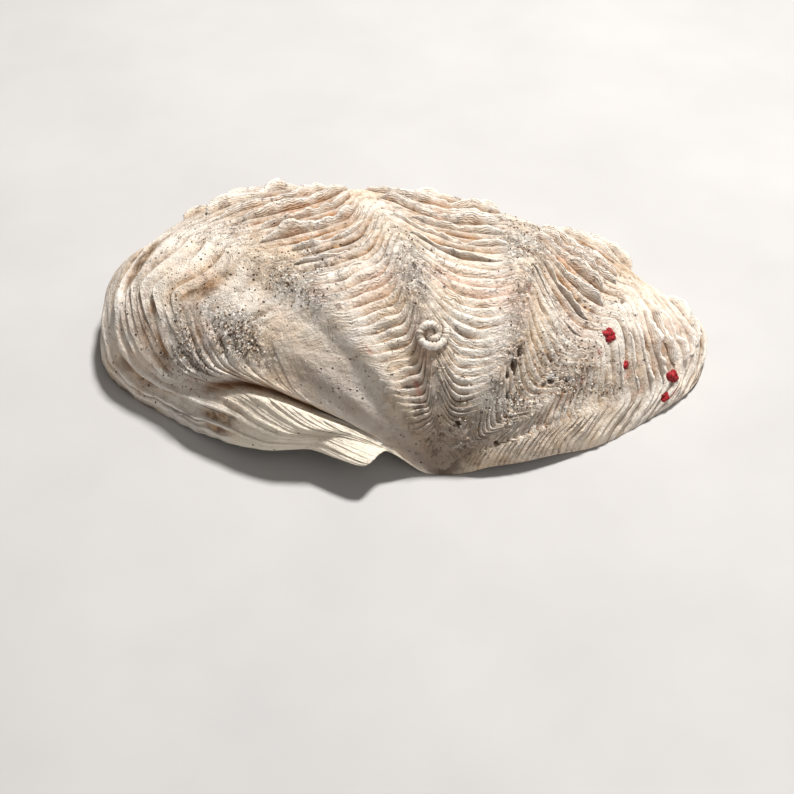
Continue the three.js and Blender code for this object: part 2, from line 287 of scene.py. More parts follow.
gritty_patches = [
    (9.0, 0.55, 0.7, 0.10, 1.0), (5.0, 0.66, 0.45, 0.16, 1.0), (4.8, 0.26, 0.45, 0.13, 0.9),
    (3.1, 0.36, 0.8, 0.16, 0.9), (11.3, 0.56, 0.8, 0.13, 0.9), (4.6, 0.10, 2.0, 0.06, 0.5),
    (7.0, 0.42, 0.4, 0.14, 0.8), (2.0, 0.45, 0.8, 0.2, 0.6), (6.9, 0.13, 0.5, 0.08, 0.6),
    (12.0, 0.72, 0.9, 0.1, 0.7), (5.0, 0.5, 0.3, 0.2, 0.8), (3.6, 0.22, 1.2, 0.08, 0.8),
    (1.6, 0.35, 0.8, 0.10, 0.6),
]
rusty_patches = [
    (7.9, 0.70, 0.7, 0.13, 0.9), (13.0, 0.74, 0.7, 0.10, 0.9), (12.1, 0.86, 0.5, 0.06, 0.8),
    (11.0, 0.70, 0.5, 0.06, 0.5), (6.2, 0.60, 0.8, 0.12, 0.6), (4.0, 0.66, 0.8, 0.16, 0.6),
    (2.0, 0.76, 0.7, 0.12, 0.7), (15.9, 0.55, 0.25, 0.5, 0.9), (1.5, 0.56, 0.5, 0.05, 0.6),
    (0.8, 0.35, 0.6, 0.08, 0.5), (7.3, 0.52, 0.5, 0.06, 0.5), (12.3, 0.80, 1.0, 0.14, 0.7),
    (11.6, 0.92, 0.9, 0.06, 0.6), (13.6, 0.66, 0.5, 0.16, 1.0), (6.0, 0.72, 0.8, 0.16, 0.6),
    (3.0, 0.35, 1.2, 0.12, 0.6), (1.6, 0.30, 0.8, 0.14, 0.5), (13.5, 0.42, 0.35, 0.25, 1.0),
]
pink_patches = [
    (7.93, 0.155, 0.22, 0.03, 1.0), (7.2, 0.23, 0.35, 0.05, 0.6), (5.9, 0.40, 0.8, 0.03, 0.7),
    (5.1, 0.42, 0.5, 0.06, 0.6), (7.8, 0.40, 0.7, 0.05, 0.5), (2.70, 0.432, 0.12, 0.02, 1.0),
    (2.38, 0.370, 0.08, 0.015, 1.0), (1.20, 0.645, 0.08, 0.02, 1.0), (4.85, 0.468, 0.07, 0.015, 1.0),
    (3.4, 0.50, 0.5, 0.04, 0.4), (1.9, 0.585, 0.1, 0.02, 1.0), (2.9, 0.515, 0.09, 0.015, 1.0),
    (0.55, 0.86, 0.12, 0.02, 1.0), (8.9, 0.30, 0.07, 0.012, 1.0),
]
pitted_patches = [
    (9.9, 0.72, 1.3, 0.14, 1.0), (4.4, 0.14, 1.3, 0.07, 0.9), (10.6, 0.28, 1.2, 0.08, 0.7),
    (3.0, 0.45, 1.2, 0.2, 0.8), (11.5, 0.62, 0.8, 0.12, 0.7), (9.3, 0.60, 0.8, 0.1, 0.8),
    (8.4, 0.23, 0.8, 0.07, 0.5), (12.2, 0.82, 1.0, 0.12, 0.8),
]

# burrows left by boring animals: fold, growth, radius, length against width, depth
burrows = [
    (4.62, 0.286, 1.9, 1.5, 3.2), (4.40, 0.290, 1.5, 1.3, 2.6), (4.66, 0.250, 1.5, 1.2, 3.0),
    (4.10, 0.252, 1.5, 1.7, 2.6), (4.62, 0.318, 1.5, 1.5, 2.2), (3.28, 0.355, 1.3, 1.6, 2.2),
    (3.05, 0.672, 1.4, 1.0, 3.5), (2.98, 0.362, 1.2, 1.0, 2.5), (11.53, 0.593, 0.8, 2.6, 1.5),
    (13.6, 0.455, 1.7, 1.5, 2.0), (1.75, 0.170, 1.0, 1.4, 2.0), (5.5, 0.095, 1.1, 1.3, 1.6),
    (2.05, 0.775, 2.1, 2.0, 2.6), (2.25, 0.70, 1.8, 2.2, 2.2), (1.55, 0.80, 1.6, 1.8, 2.0),
]

# where the growth lines reach ahead (at ridges) or hang back, by fold
hang_folds = np.array([0, 1.0, 1.9, 3.0, 3.6, 5.0, 6.0, 7.0, 7.65, 9.2, 9.95, 11.0, 12.1, 13.4, 16])
hang_sizes = np.array([0.06, 0.02, -0.02, 0.03, -0.045, 0.035, -0.045, 0.045, -0.05, 0.03, 0.0, 0.045,
                       0.0, 0.0, 0.0])


# hung curves between sharp ridges, slightly rounded at the ridges
def hang_table():
    u = np.linspace(0, last_fold, 1601)
    i = np.clip(np.searchsorted(hang_folds, u, side="right") - 1, 0, len(hang_folds) - 2)
    f = (u - hang_folds[i]) / (hang_folds[i + 1] - hang_folds[i])
    start, end = hang_sizes[i], hang_sizes[i + 1]
    f = np.where(end > start, f, 1 - f)
    low, high = np.minimum(start, end), np.maximum(start, end)
    hang = low + (high - low) * f ** 1.9
    kernel = np.exp(-(np.arange(-40, 41) / 14.0) ** 2)
    return u, np.convolve(np.pad(hang, 40, mode="edge"), kernel / kernel.sum(), mode="valid")


hang_places, hang_values = hang_table()


def growth_hang(u, t):
    return np.interp(u, hang_places, hang_values) * ease(0.03, 0.2, t) * (1 - ease(0.74, 1.0, t))


# how far a place lies in the thin groove of that crease, from 0 to 1
def groove(u, t):
    return np.exp(-((u - crease_fold(t)) / 0.2) ** 2) * ease(0.12, 0.4, t) * (1 - ease(0.75, 0.95, t))


# one lamella, row by row: its height, its lean, the painted shade and stain in the crevice behind it and
# the painted highlight on its rim
tile_profile = np.array([0.0, 0.42, 0.78, 1.0, 0.25])
lean_profile = np.array([0.0, 0.0, 0.15, 0.55, 0.1])
crevice_shade_and_stain_profile = np.array([1.0, 0.2, 0.0, 0.0, 0.8])
rim_profile = np.array([0.0, 0.0, 0.3, 1.0, 0.2])
lamella_sizes = np.random.default_rng(4).uniform(0.6, 1.25, lamella_count + 1)

# relief of the outer face
lamella_height = 1.5
right_lamella_height = 0.28
stack_recess = 1.3
lamellae_per_terrace = 3.6
left_terrace_height = 2.7
right_terrace_height = 1.2
lip_terrace_height = 0.7
knuckled_fold = 7.0
lamellae_per_knuckle = 1.7
knuckle_height = 0.9
grit_height = 0.75
swell_height = 0.9
scoop_depth = 1.5


# the outer face at fold places u, growth t0 of a lamella and the phase within that lamella
def outer_face(u, t0, lamella, phase):
    plain = plain_surface(u, t0)[0]
    calm = ease(0.05, 0.2, t0) * (1 - ease(0.9, 1.0, t0)) * ease(0, 0.4, u) * (1 - ease(15.5, 16, u))
    right = 1 - ease(2.6, 3.4, u)
    wander = (0.006 * lumps(plain, 24.0, 3) + (0.0035 + 0.003 * right) * lumps(plain, 8.0, 5)) * calm
    t = np.clip(t0 + growth_hang(u, t0) + wander, 0, 1)
    t = np.where(t0 <= 0, 0, np.where(t0 >= 1, 1, t))
    base, normal = plain_surface(u, t)

    side = ease(0, 0.35, u) * (1 - ease(last_fold - 0.3, last_fold, u))
    edge = 1 - ease(0.985, 1, t)
    plates = np.clip(along_folds(u, fold_plates), 0, 1)
    ribs = np.clip(along_folds(u, fold_ribs), 0, 1) ** 1.5
    stack = plates * ease(0.48, 0.6, t0) * (1 - ease(0.93, 0.99, t0))
    left = ease(8.9, 9.9, u)
    beside_lip = ease(0.8, 0.95, t) * (1 - ease(14.2, 14.6, u))
    lip = ease(0.1, 0.4, u - crease_fold(t)) * ease(0.3, 0.55, t) * (1 - beside_lip)
    grit = patches(u, t, gritty_patches) * np.clip(0.7 + 0.8 * rough(base, 9.0, 61), 0, 1)

    # each lamella rises slowly to its rim, leans over it and drops into a crevice
    age = lamella + phase / rows_per_lamella
    drift = np.stack(np.broadcast_arrays(u * 1.5, lamella * 2.7, 0.0 * u), -1)
    uneven = 1 + 0.6 * lumps(drift, 1.0, 11) + 0.3 * lumps(drift, 0.35, 13)
    height = lamella_height * (0.3 + 0.7 * plates) * ease(0.04, 0.2, t0) * (1 - 0.8 * left)
    height = height * (1 - 0.6 * ribs) + right_lamella_height * right * ease(0.1, 0.3, t0)
    height = height * (1 - 0.65 * right * ease(0.55, 0.68, t0))
    rubbed = (1 - ease(1.9, 2.7, u)) * (1 - ease(0.6, 0.7, t0))
    rubbed = rubbed * np.clip(0.55 + 0.9 * rough(base, 10.0, 97), 0, 1)
    height = height * (1 - 0.8 * rubbed)
    bare = ease(8.7, 9.6, u) * (1 - ease(0.36, 0.5, t0))
    height = height * lamella_sizes[lamella] * uneven
    height = height * (1 - 0.4 * stack) * (1 - 0.4 * grit) * (1 - 0.8 * bare)
    growth = height * tile_profile[phase] - stack_recess * stack

    # broad terraces on both ends and the lip, broken and worn between
    terrace = age / lamellae_per_terrace + 0.7 * lumps(drift, 3.1, 17)
    wave = terrace - np.floor(terrace)
    wave = np.where(wave < 0.75, (wave / 0.75) ** 1.4, (1 - wave) / 0.25)
    strength = np.clip(0.6 + 0.9 * lumps(base, 30.0, 19), 0.1, 1.3)
    growth = growth + left * (1 - lip) * left_terrace_height * wave * strength * ease(0.38, 0.54, t0)
    growth = growth + right * right_terrace_height * wave * strength * ease(0.4, 0.6, t0)
    growth = growth + lip_terrace_height * lip * wave

    # worn ridges, one of them knuckled where the animal paused
    knuckle = 0.5 + 0.5 * np.cos(2 * np.pi * age / lamellae_per_knuckle)
    knuckle = knuckle * np.exp(-((u - knuckled_fold) / 0.5) ** 2)
    worn = ribs * ease(0.06, 0.22, t0)
    relief = rib_height * worn * (1 - 0.85 * ease(0.5, 0.75, t0)) + growth
    relief = relief + knuckle_height * worn * knuckle
    relief = relief + (0.35 * worn + grit_height * grit) * rough(base, 3.2, 21)
    relief = relief + swell_height * lumps(base, 26.0, 31) * ease(0.1, 0.3, t0)
    relief = relief + (0.2 + 0.15 * left) * rough(base, 7.0, 41) * (1 - 0.6 * lip)
    relief = relief + scoop_depth * right * ease(0.5, 0.66, t0) * rough(base, 15.0, 83)
    crease = groove(u, t)
    relief = relief - crease_depth * crease

    # painted shade and dirt at the foot of each terrace
    foot_shade_and_dirt = left * (1 - 0.6 * lip) * ease(0.38, 0.54, t0) + 0.7 * right * ease(0.5, 0.6, t0)
    foot_shade_and_dirt = foot_shade_and_dirt * np.clip(1.1 - 1.6 * wave, 0, 1) * np.clip(0.5 + rough(base, 11.0, 95), 0, 1)

    # the rim of each lamella leans toward the free edge, which is ragged
    step = 0.004
    ahead = plain_surface(u, np.minimum(t + step, 1))[0] - plain_surface(u, np.maximum(t - step, 0))[0]
    ahead /= np.linalg.norm(ahead, axis=-1, keepdims=True) + 1e-9
    lean = lean_profile[phase] * height * side * edge
    ragged = edge_wear * lumps(base, 5.0, 71) * ease(0.93, 1, t) * side * (1 - 0.85 * lip)
    points = base + normal * (relief * side * edge)[..., None] + ahead * (lean + ragged)[..., None]

    tone = {
        # painted shade and brown stain in the hollows between lamellae, over the stacks, at terrace feet
        # and in the crease
        "crevice_shade_and_stain": crevice_shade_and_stain_profile[phase] * np.clip(height / 0.9, 0, 1) * (1 - left * 0.5)
        + 0.8 * stack + foot_shade_and_dirt + 0.7 * crease,
        # painted highlight along the rim of each lamella
        "rim": rim_profile[phase] * np.clip(height, 0, 1),
        "stack": stack,
        "grit": grit,
        # painted highlight on the raised part of each terrace
        "terrace": (left * (1 - lip) + 0.8 * right * ease(0.4, 0.6, t0)) * wave * strength,
        "calm": np.maximum(left, right * 0.6 * ease(0.4, 0.6, t0)) * (1 - 0.7 * grit),
        "rust": np.maximum(patches(u, t, rusty_patches), crease),
        "pink": patches(u, t, pink_patches),
        "pitted": patches(u, t, pitted_patches),
        "groove": crease,
        "lip": lip,
        # painted shade on the long slope above the lip, toward the beak
        "slope": np.exp(-((u - 11.3) / 2.2) ** 2) * (1 - ease(0.38, 0.56, t)),
        # painted shade on the beak
        "beak_shade": np.exp(-(t / 0.12) ** 2),
        "growth": age + 0.0 * u,
    }
    tone = {name: np.broadcast_to(grid, t.shape) for name, grid in tone.items()}
    return points, normal, ahead, tone


def carve_burrows(points, normal, u, t0, tone):
    carved = np.zeros(u.shape)
    for fold, place, radius, stretch, depth in burrows:
        i = np.argmin(np.abs(u[:, 0] - fold))
        j = np.argmin(np.abs(t0[i] - place))
        away = points - points[i, j]
        across = points[min(i + 1, len(u) - 1), j] - points[max(i - 1, 0), j]
        across /= np.linalg.norm(across)
        sideways = away @ across
        lengthways = np.linalg.norm(away - sideways[..., None] * across, axis=-1)
        gap = np.hypot(sideways / stretch, lengthways) * (1 + 0.35 * lumps(points, 1.6, 81))
        hole = 1 - ease(0.55 * radius, 1.1 * radius, gap)
        points -= normal * (depth * hole)[..., None]
        carved = np.maximum(carved, hole)
    tone["burrow"] = carved


def inner_skin(columns, rows):
    u, t = np.meshgrid(columns, rows, indexing="ij")
    points = inner_surface(u, t) - outward(plan_point(u, t)) * (crease_depth * groove(u, t))[..., None]
    points[..., 2] += 0.35 * lumps(points, 30.0, 51) * (1 - ease(0.9, 1, t))
    return points


def flat_list(grid):
    return np.concatenate([grid[:1, 0], grid[:, 1:].reshape(-1, *grid.shape[2:])])


def skin_faces(rows, columns, first):
    def at(i, j):
        return first if j == 0 else first + 1 + i * (columns - 1) + j - 1
    faces = []
    for i in range(rows - 1):
        faces.append((first, at(i, 1), at(i + 1, 1)))
        for j in range(1, columns - 1):
            faces.append((at(i, j), at(i, j + 1), at(i + 1, j + 1), at(i + 1, j)))
    return faces, at


def rim_path(at, rows, columns):
    path = [at(0, j) for j in range(columns)]
    path += [at(i, columns - 1) for i in range(1, rows)]
    path += [at(rows - 1, j) for j in range(columns - 2, 0, -1)]
    return path


# the frame has its origin at the middle of the valve's footprint box
valve_shift = np.array([-2.58, -30.4])


def metres(points):
    return (points + np.array([*valve_shift, 0.0])) / 1000


def place_piece(name, mesh, node):
    piece = bpy.data.objects.new(name, mesh)
    bpy.context.scene.collection.objects.link(piece)
    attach(piece, "root")
    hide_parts(node)
    return piece


def new_piece(name, points, faces, material, node, tone):
    mesh = bpy.data.meshes.new(name)
    mesh.from_pydata([tuple(p) for p in metres(points)], [], faces)
    mesh.materials.append(material)
    mesh.shade_smooth()
    mesh.update()
    for key, values in tone.items():
        layer = mesh.attributes.new(key, "FLOAT", "POINT")
        layer.data.foreach_set("value", np.asarray(values, np.float32))
    return place_piece(name, mesh, node)


# node helpers: a value is a number or the output of another node
def feed(tree, socket, value):
    if isinstance(value, bpy.types.NodeSocket):
        tree.links.new(value, socket)
    else:
        socket.default_value = value


def blend(tree, share, first, second):
    node = tree.nodes.new("ShaderNodeMix")
    node.data_type = "RGBA"
    for index, value in ((0, share), (6, first), (7, second)):
        feed(tree, node.inputs[index], value)
    return node.outputs[2]


def sums(tree, operation, first, second=0.0, clamp=False):
    node = tree.nodes.new("ShaderNodeMath")
    node.operation = operation
    node.use_clamp = clamp
    feed(tree, node.inputs[0], first)
    feed(tree, node.inputs[1], second)
    return node.outputs[0]


def product(tree, first, *others):
    for other in others:
        first = sums(tree, "MULTIPLY", first, other)
    return first


def steps(tree, value, low, high, start=0.0, end=1.0):
    node = tree.nodes.new("ShaderNodeMapRange")
    node.clamp = True
    for index, item in enumerate((value, low, high, start, end)):
        feed(tree, node.inputs[index], item)
    return node.outputs[0]


def object_place(tree):
    return tree.nodes.new("ShaderNodeTexCoord").outputs["Object"]


def grain(tree, size_mm, detail=4.0, roughness=0.6):
    node = tree.nodes.new("ShaderNodeTexNoise")
    tree.links.new(object_place(tree), node.inputs["Vector"])
    node.inputs["Scale"].default_value = 1000.0 / size_mm
    node.inputs["Detail"].default_value = detail
    node.inputs["Roughness"].default_value = roughness
    return node.outputs[0]


# soft-edged clouds of that grain, from start to end as it passes from low to high
def clouds(tree, size_mm, detail, low, high, start=0.0, end=1.0):
    return steps(tree, grain(tree, size_mm, detail), low, high, start, end)


def measured(tree, name):
    node = tree.nodes.new("ShaderNodeAttribute")
    node.attribute_name = name
    return node.outputs["Fac"]


# dark pits of uneven size; their share grows with the input Amount
def pits_group():
    group = bpy.data.node_groups.new("chalk_pits", "ShaderNodeTree")
    group.interface.new_socket("Amount", in_out="INPUT", socket_type="NodeSocketFloat")
    group.interface.new_socket("Size", in_out="INPUT", socket_type="NodeSocketFloat")
    group.interface.new_socket("Pits", in_out="OUTPUT", socket_type="NodeSocketFloat")
    entry = group.nodes.new("NodeGroupInput")
    leave = group.nodes.new("NodeGroupOutput")
    cells = group.nodes.new("ShaderNodeTexVoronoi")
    group.links.new(object_place(group), cells.inputs["Vector"])
    group.links.new(sums(group, "DIVIDE", 1000.0, entry.outputs["Size"]), cells.inputs["Scale"])
    pick = group.nodes.new("ShaderNodeSeparateColor")
    group.links.new(cells.outputs["Color"], pick.inputs[0])
    chosen = sums(group, "LESS_THAN", pick.outputs[0], entry.outputs["Amount"])
    width = sums(group, "ADD", product(group, pick.outputs[1], 0.22), 0.1)
    inside = sums(group, "SUBTRACT", 1.0, sums(group, "DIVIDE", cells.outputs["Distance"], width), True)
    group.links.new(sums(group, "MULTIPLY", chosen, steps(group, inside, 0.0, 0.5)), leave.inputs[0])
    return group


chalk_pits = pits_group()


def pits(tree, amount, size_mm):
    node = tree.nodes.new("ShaderNodeGroup")
    node.node_tree = chalk_pits
    feed(tree, node.inputs["Amount"], amount)
    feed(tree, node.inputs["Size"], size_mm)
    return node.outputs["Pits"]


def new_material(name, gloss):
    material = bpy.data.materials.new(name)
    material.use_nodes = True
    shader = material.node_tree.nodes["Principled BSDF"]
    shader.inputs["Specular IOR Level"].default_value = gloss
    return material, material.node_tree, shader


def add_bump(tree, shader, height, depth, strength):
    bump = tree.nodes.new("ShaderNodeBump")
    bump.inputs["Strength"].default_value = strength
    bump.inputs["Distance"].default_value = depth
    tree.links.new(height, bump.inputs["Height"])
    tree.links.new(bump.outputs[0], shader.inputs["Normal"])


def shell_material():
    material, tree, shader = new_material("shell_lime", 0.25)
    white = (0.87, 0.81, 0.73, 1)
    cream = (0.80, 0.64, 0.47, 1)
    sand = (0.44, 0.27, 0.14, 1)
    rust = (0.47, 0.20, 0.06, 1)
    umber = (0.07, 0.035, 0.02, 1)
    ash_grey_and_shade = (0.30, 0.255, 0.225, 1)
    blush = (0.66, 0.36, 0.27, 1)
    straw = (0.74, 0.63, 0.45, 1)
    bone = (0.93, 0.89, 0.83, 1)
    porcelain = (0.82, 0.79, 0.73, 1)
    crease_rust = (0.34, 0.15, 0.055, 1)
    beak_painted_shade = (0.19, 0.125, 0.085, 1)
    stain_red = (0.45, 0.09, 0.08, 1)
    dirt_brown = (0.20, 0.11, 0.06, 1)
    burrow_brown = (0.14, 0.07, 0.03, 1)

    # chalky white lime with cream, beige and faint pink clouds
    colour = blend(tree, clouds(tree, 30, 5, 0.44, 0.68), white, cream)
    colour = blend(tree, steps(tree, grain(tree, 7, 6, 0.7), 0.52, 0.75, 0.0, 0.65), colour, sand)
    pink = clouds(tree, 19, 3, 0.56, 0.72, 0.0, 0.3)
    colour = blend(tree, pink, colour, blush)

    # fine growth lines between the lamellae
    bent = sums(tree, "ADD", measured(tree, "growth"), product(tree, grain(tree, 9, 3), 1.6))
    fine_lines = sums(tree, "SINE", product(tree, bent, 22.0))
    fine_lines = sums(tree, "ADD", product(tree, fine_lines, 0.5), 0.5)
    broken = clouds(tree, 6, 5, 0.42, 0.62)
    calm = sums(tree, "SUBTRACT", 1.0, product(tree, measured(tree, "calm"), 0.75))
    colour = blend(tree, product(tree, fine_lines, broken, 0.26), colour, sand)

    # painted shade and brown stain in the crevices, and rust under the standing plates
    crevice_shade_and_stain = measured(tree, "crevice_shade_and_stain")
    patchy = clouds(tree, 8, 5, 0.32, 0.56, 0.45, 1.0)
    colour = blend(tree, product(tree, crevice_shade_and_stain, patchy, 0.9), colour, sand)
    deep_shade_and_stain = product(tree, crevice_shade_and_stain, clouds(tree, 5, 5, 0.42, 0.58))
    colour = blend(tree, product(tree, deep_shade_and_stain, 0.75), colour, umber)
    rusty = product(tree, measured(tree, "rust"), clouds(tree, 7, 5, 0.36, 0.6))
    colour = blend(tree, product(tree, rusty, steps(tree, crevice_shade_and_stain, 0, 1, 0.34, 1.0), 0.95), colour, rust)

    # painted highlight on the terraces, rust in the crease, painted shade on the long slope and the
    # beak, straw on the lip, then pink clouds and red stains
    terrace_highlight = product(tree, measured(tree, "terrace"), clouds(tree, 12, 4, 0.35, 0.55))
    colour = blend(tree, product(tree, terrace_highlight, 0.7), colour, bone)
    tints = (("groove", 0.85, crease_rust), ("slope", 0.62, ash_grey_and_shade),
             ("beak_shade", 0.75, beak_painted_shade), ("lip", 0.75, straw))
    for mask, share, tint in tints:
        colour = blend(tree, product(tree, measured(tree, mask), share), colour, tint)
    lip_lines = product(tree, measured(tree, "lip"), fine_lines, 0.75)
    colour = blend(tree, lip_lines, colour, bone)
    pink = measured(tree, "pink")
    colour = blend(tree, product(tree, pink, 0.6), colour, blush)
    stains = product(tree, steps(tree, pink, 0.72, 0.95), clouds(tree, 2, 4, 0.4, 0.55))
    colour = blend(tree, product(tree, stains, 0.8), colour, stain_red)

    # grey and white wear on the gritty ground
    grit = product(tree, measured(tree, "grit"), steps(tree, grain(tree, 1.8, 6, 0.75), 0.47, 0.56))
    grey = blend(tree, clouds(tree, 6, 3, 0.42, 0.58), umber, ash_grey_and_shade)
    colour = blend(tree, product(tree, grit, 0.85), colour, grey)
    flecks = product(tree, measured(tree, "grit"), clouds(tree, 3.1, 4, 0.55, 0.65))
    colour = blend(tree, flecks, colour, bone)

    # brown dirt in streaks and spots
    spots = steps(tree, grain(tree, 2.6, 6, 0.8), 0.56, 0.64)
    where = clouds(tree, 20, 4, 0.42, 0.62, 0.1, 0.8)
    spots = product(tree, spots, where, calm)
    colour = blend(tree, spots, colour, dirt_brown)

    # small pits and borings, none of them on the smooth inside
    anywhere = clouds(tree, 22, 3, 0.5, 0.7, 0.0, 0.18)
    amount = sums(tree, "ADD", product(tree, measured(tree, "pitted"), 0.45), anywhere)
    small = pits(tree, amount, 2.4)
    tiny = pits(tree, product(tree, amount, 1.2), 1.3)
    outside = sums(tree, "SUBTRACT", 1.0, measured(tree, "inside"))
    speckle = product(tree, sums(tree, "MAXIMUM", small, tiny), outside)
    colour = blend(tree, product(tree, speckle, 0.85), colour, umber)
    colour = blend(tree, product(tree, measured(tree, "burrow"), 0.9), colour, burrow_brown)
    # painted highlight on the lamellae's rims and the plates' tops
    colour = blend(tree, product(tree, measured(tree, "rim"), 0.5), colour, bone)
    colour = blend(tree, measured(tree, "inside"), colour, porcelain)
    tree.links.new(colour, shader.inputs["Base Color"])

    smooth_inside = product(tree, measured(tree, "inside"), -0.4)
    chalk = clouds(tree, 3, 4, 0.3, 0.7, 0.66, 0.92)
    tree.links.new(sums(tree, "ADD", chalk, smooth_inside, True), shader.inputs["Roughness"])

    bumps = product(tree, grain(tree, 1.2, 5, 0.7), steps(tree, calm, 0, 1, 0.1, 1.0))
    bumps = sums(tree, "ADD", bumps, product(tree, grain(tree, 4, 5), 1.6))
    bumps = sums(tree, "ADD", bumps, product(tree, grit, 0.9))
    bumps = sums(tree, "ADD", bumps, product(tree, fine_lines, broken, calm, 0.5))
    bumps = sums(tree, "SUBTRACT", bumps, product(tree, speckle, 1.2))
    bumps = sums(tree, "SUBTRACT", bumps, product(tree, spots, 0.6))
    bumps = product(tree, bumps, steps(tree, outside, 0, 1, 0.06, 1.0))
    add_bump(tree, shader, bumps, 0.0009, 1.0)
    return material


shell_lime = shell_material()


def build_valve():
    columns = fold_columns()
    rows = growth_rows()
    u, t0 = np.meshgrid(columns, rows, indexing="ij")
    counts = np.arange(len(rows))
    lamella = np.minimum(counts // rows_per_lamella, lamella_count)[None, :]
    phase = (counts % rows_per_lamella)[None, :]
    outer, normal, _, tone = outer_face(u, t0, lamella, phase)
    carve_burrows(outer, normal, u, t0, tone)
    inner_rows = rows[::inner_every]
    inner_list = flat_list(inner_skin(columns, inner_rows))
    outer_list = flat_list(outer)
    outer_faces, outer_at = skin_faces(len(columns), len(rows), 0)
    inner_faces, inner_at = skin_faces(len(columns), len(inner_rows), len(outer_list))

    def inner_near(i, j):
        return inner_at(i, round(j / inner_every))
    outer_rim = rim_path(outer_at, len(columns), len(rows))
    inner_rim = rim_path(inner_near, len(columns), len(rows))
    faces = outer_faces + [face[::-1] for face in inner_faces]
    for k, a in enumerate(outer_rim):
        b = outer_rim[(k + 1) % len(outer_rim)]
        c = inner_rim[k]
        d = inner_rim[(k + 1) % len(inner_rim)]
        faces.append((a, c, b))
        if c != d:
            faces.append((b, c, d))
    points = np.concatenate([outer_list, inner_list])
    points[:, 2] = np.maximum(points[:, 2], 0)
    tone["inside"] = np.zeros(u.shape)
    lists = {}
    for name, grid in tone.items():
        filler = np.full(len(inner_list), 1.0 if name == "inside" else 0.0)
        lists[name] = np.concatenate([flat_list(np.asarray(grid)), filler])
    return new_piece("clam_valve", points, faces, shell_lime, "valve", lists)


valve = build_valve()

# -----------------------------------------------------------------
# Scute plates: where the lamellae stand clear of the valve.  They are the same
# lime, grown in one with it, so each plate's foot runs down into the valve.
plate_stacks = [
    # middle fold, half width in folds, first growth, last growth, height
    (8.0, 0.76, 0.50, 0.93, 4.6),
    (6.0, 0.80, 0.49, 0.93, 5.0),
    (4.0, 0.80, 0.52, 0.92, 5.8),
    (2.0, 0.72, 0.56, 0.92, 4.0),
]
plate_steps = 40
plate_levels = np.array([0.0, 0.35, 0.65, 0.88, 1.0])
plate_foot = 1.0


def scute_plates():
    rng = np.random.default_rng(12)
    rows = growth_rows()
    points, faces = [], []
    tone = {}
    first = 0
    for middle, half, start, stop, tall in plate_stacks:
        for lamella in range(lamella_count):
            t0 = rows[lamella * rows_per_lamella]
            if not start < t0 < stop or lamella % 2 or rng.random() < 0.06:
                continue
            s = np.linspace(-1, 1, plate_steps + 1)
            shift = rng.uniform(-0.12, 0.12)
            u = (middle + shift + half * rng.uniform(0.75, 1.05) * s)[:, None]
            along = np.full(u.shape, t0)
            base, normal, ahead, marks = outer_face(u, along, np.array([[lamella]]), np.array([[0]]))
            base, normal, ahead = base[:, 0], normal[:, 0], ahead[:, 0]
            wear = np.stack([s * 3.1 + 40 * rng.random(), np.full(s.shape, lamella * 1.7), 0 * s], -1)
            height = tall * rng.uniform(0.55, 1.15) * (1 - np.abs(s) ** 5) ** 0.6
            height = height * (0.4 + 0.6 * ease(start, start + 0.18, t0))
            chipped = 0.9 + 0.5 * lumps(wear, 1.3, 91) + 0.16 * lumps(wear, 0.3, 92)
            height = height * np.clip(chipped, 0.12, 1.3)
            lean = rng.uniform(0.35, 0.75)
            wall = rng.uniform(0.55, 0.95)
            for sign in (-1, 1):
                for level in plate_levels:
                    rise = -plate_foot + (height + plate_foot) * level
                    push = sign * wall * (1 - 0.6 * level) * np.clip(height, 0.2, 1)
                    push = lean * height * level**1.5 + push
                    wave = 0.25 * lumps(wear + level, 0.5, 93)
                    points.append(base + normal * rise[:, None] + ahead * (push + wave)[:, None])
                    for name, grid in marks.items():
                        tone.setdefault(name, []).append(grid[:, 0].copy())
                    # each plate is painted darker toward its foot: painted shade and stain
                    tone["crevice_shade_and_stain"][-1] = np.full(s.shape, 1 - level)
                    tone["grit"][-1] *= 0.3
                    # each plate is painted lighter toward its top: painted highlight
                    tone["rim"][-1] = np.full(s.shape, level**3)
                    tone["growth"][-1] = np.full(s.shape, lamella + level * 1.5)
                    for name in ("burrow", "inside"):
                        tone.setdefault(name, []).append(np.zeros(s.shape))
            count = plate_steps + 1
            levels = len(plate_levels)
            top = levels - 1

            def at(face, level, k):
                return first + (face * levels + level) * count + k
            for k in range(plate_steps):
                for low in range(top):
                    up = low + 1
                    faces.append((at(0, low, k), at(0, up, k), at(0, up, k + 1), at(0, low, k + 1)))
                    faces.append((at(1, low, k), at(1, low, k + 1), at(1, up, k + 1), at(1, up, k)))
                faces.append((at(0, top, k), at(1, top, k), at(1, top, k + 1), at(0, top, k + 1)))
                faces.append((at(0, 0, k), at(0, 0, k + 1), at(1, 0, k + 1), at(1, 0, k)))
            end = plate_steps
            for low in range(top):
                up = low + 1
                faces.append((at(0, low, 0), at(1, low, 0), at(1, up, 0), at(0, up, 0)))
                faces.append((at(0, low, end), at(0, up, end), at(1, up, end), at(1, low, end)))
            first += 2 * levels * count
    tone = {name: np.concatenate(parts) for name, parts in tone.items()}
    new_piece("scute_plates", np.concatenate(points), faces, shell_lime, "valve", tone)


scute_plates()

# -----------------------------------------------------------------
# Crumbs: grains of sand, broken lime and dead crust, cemented to the worn
# patches of the valve.  They lie thickest where the shell is gritty.
crumb_radius = 0.34
crumbs_per_square_metre = 800000.0


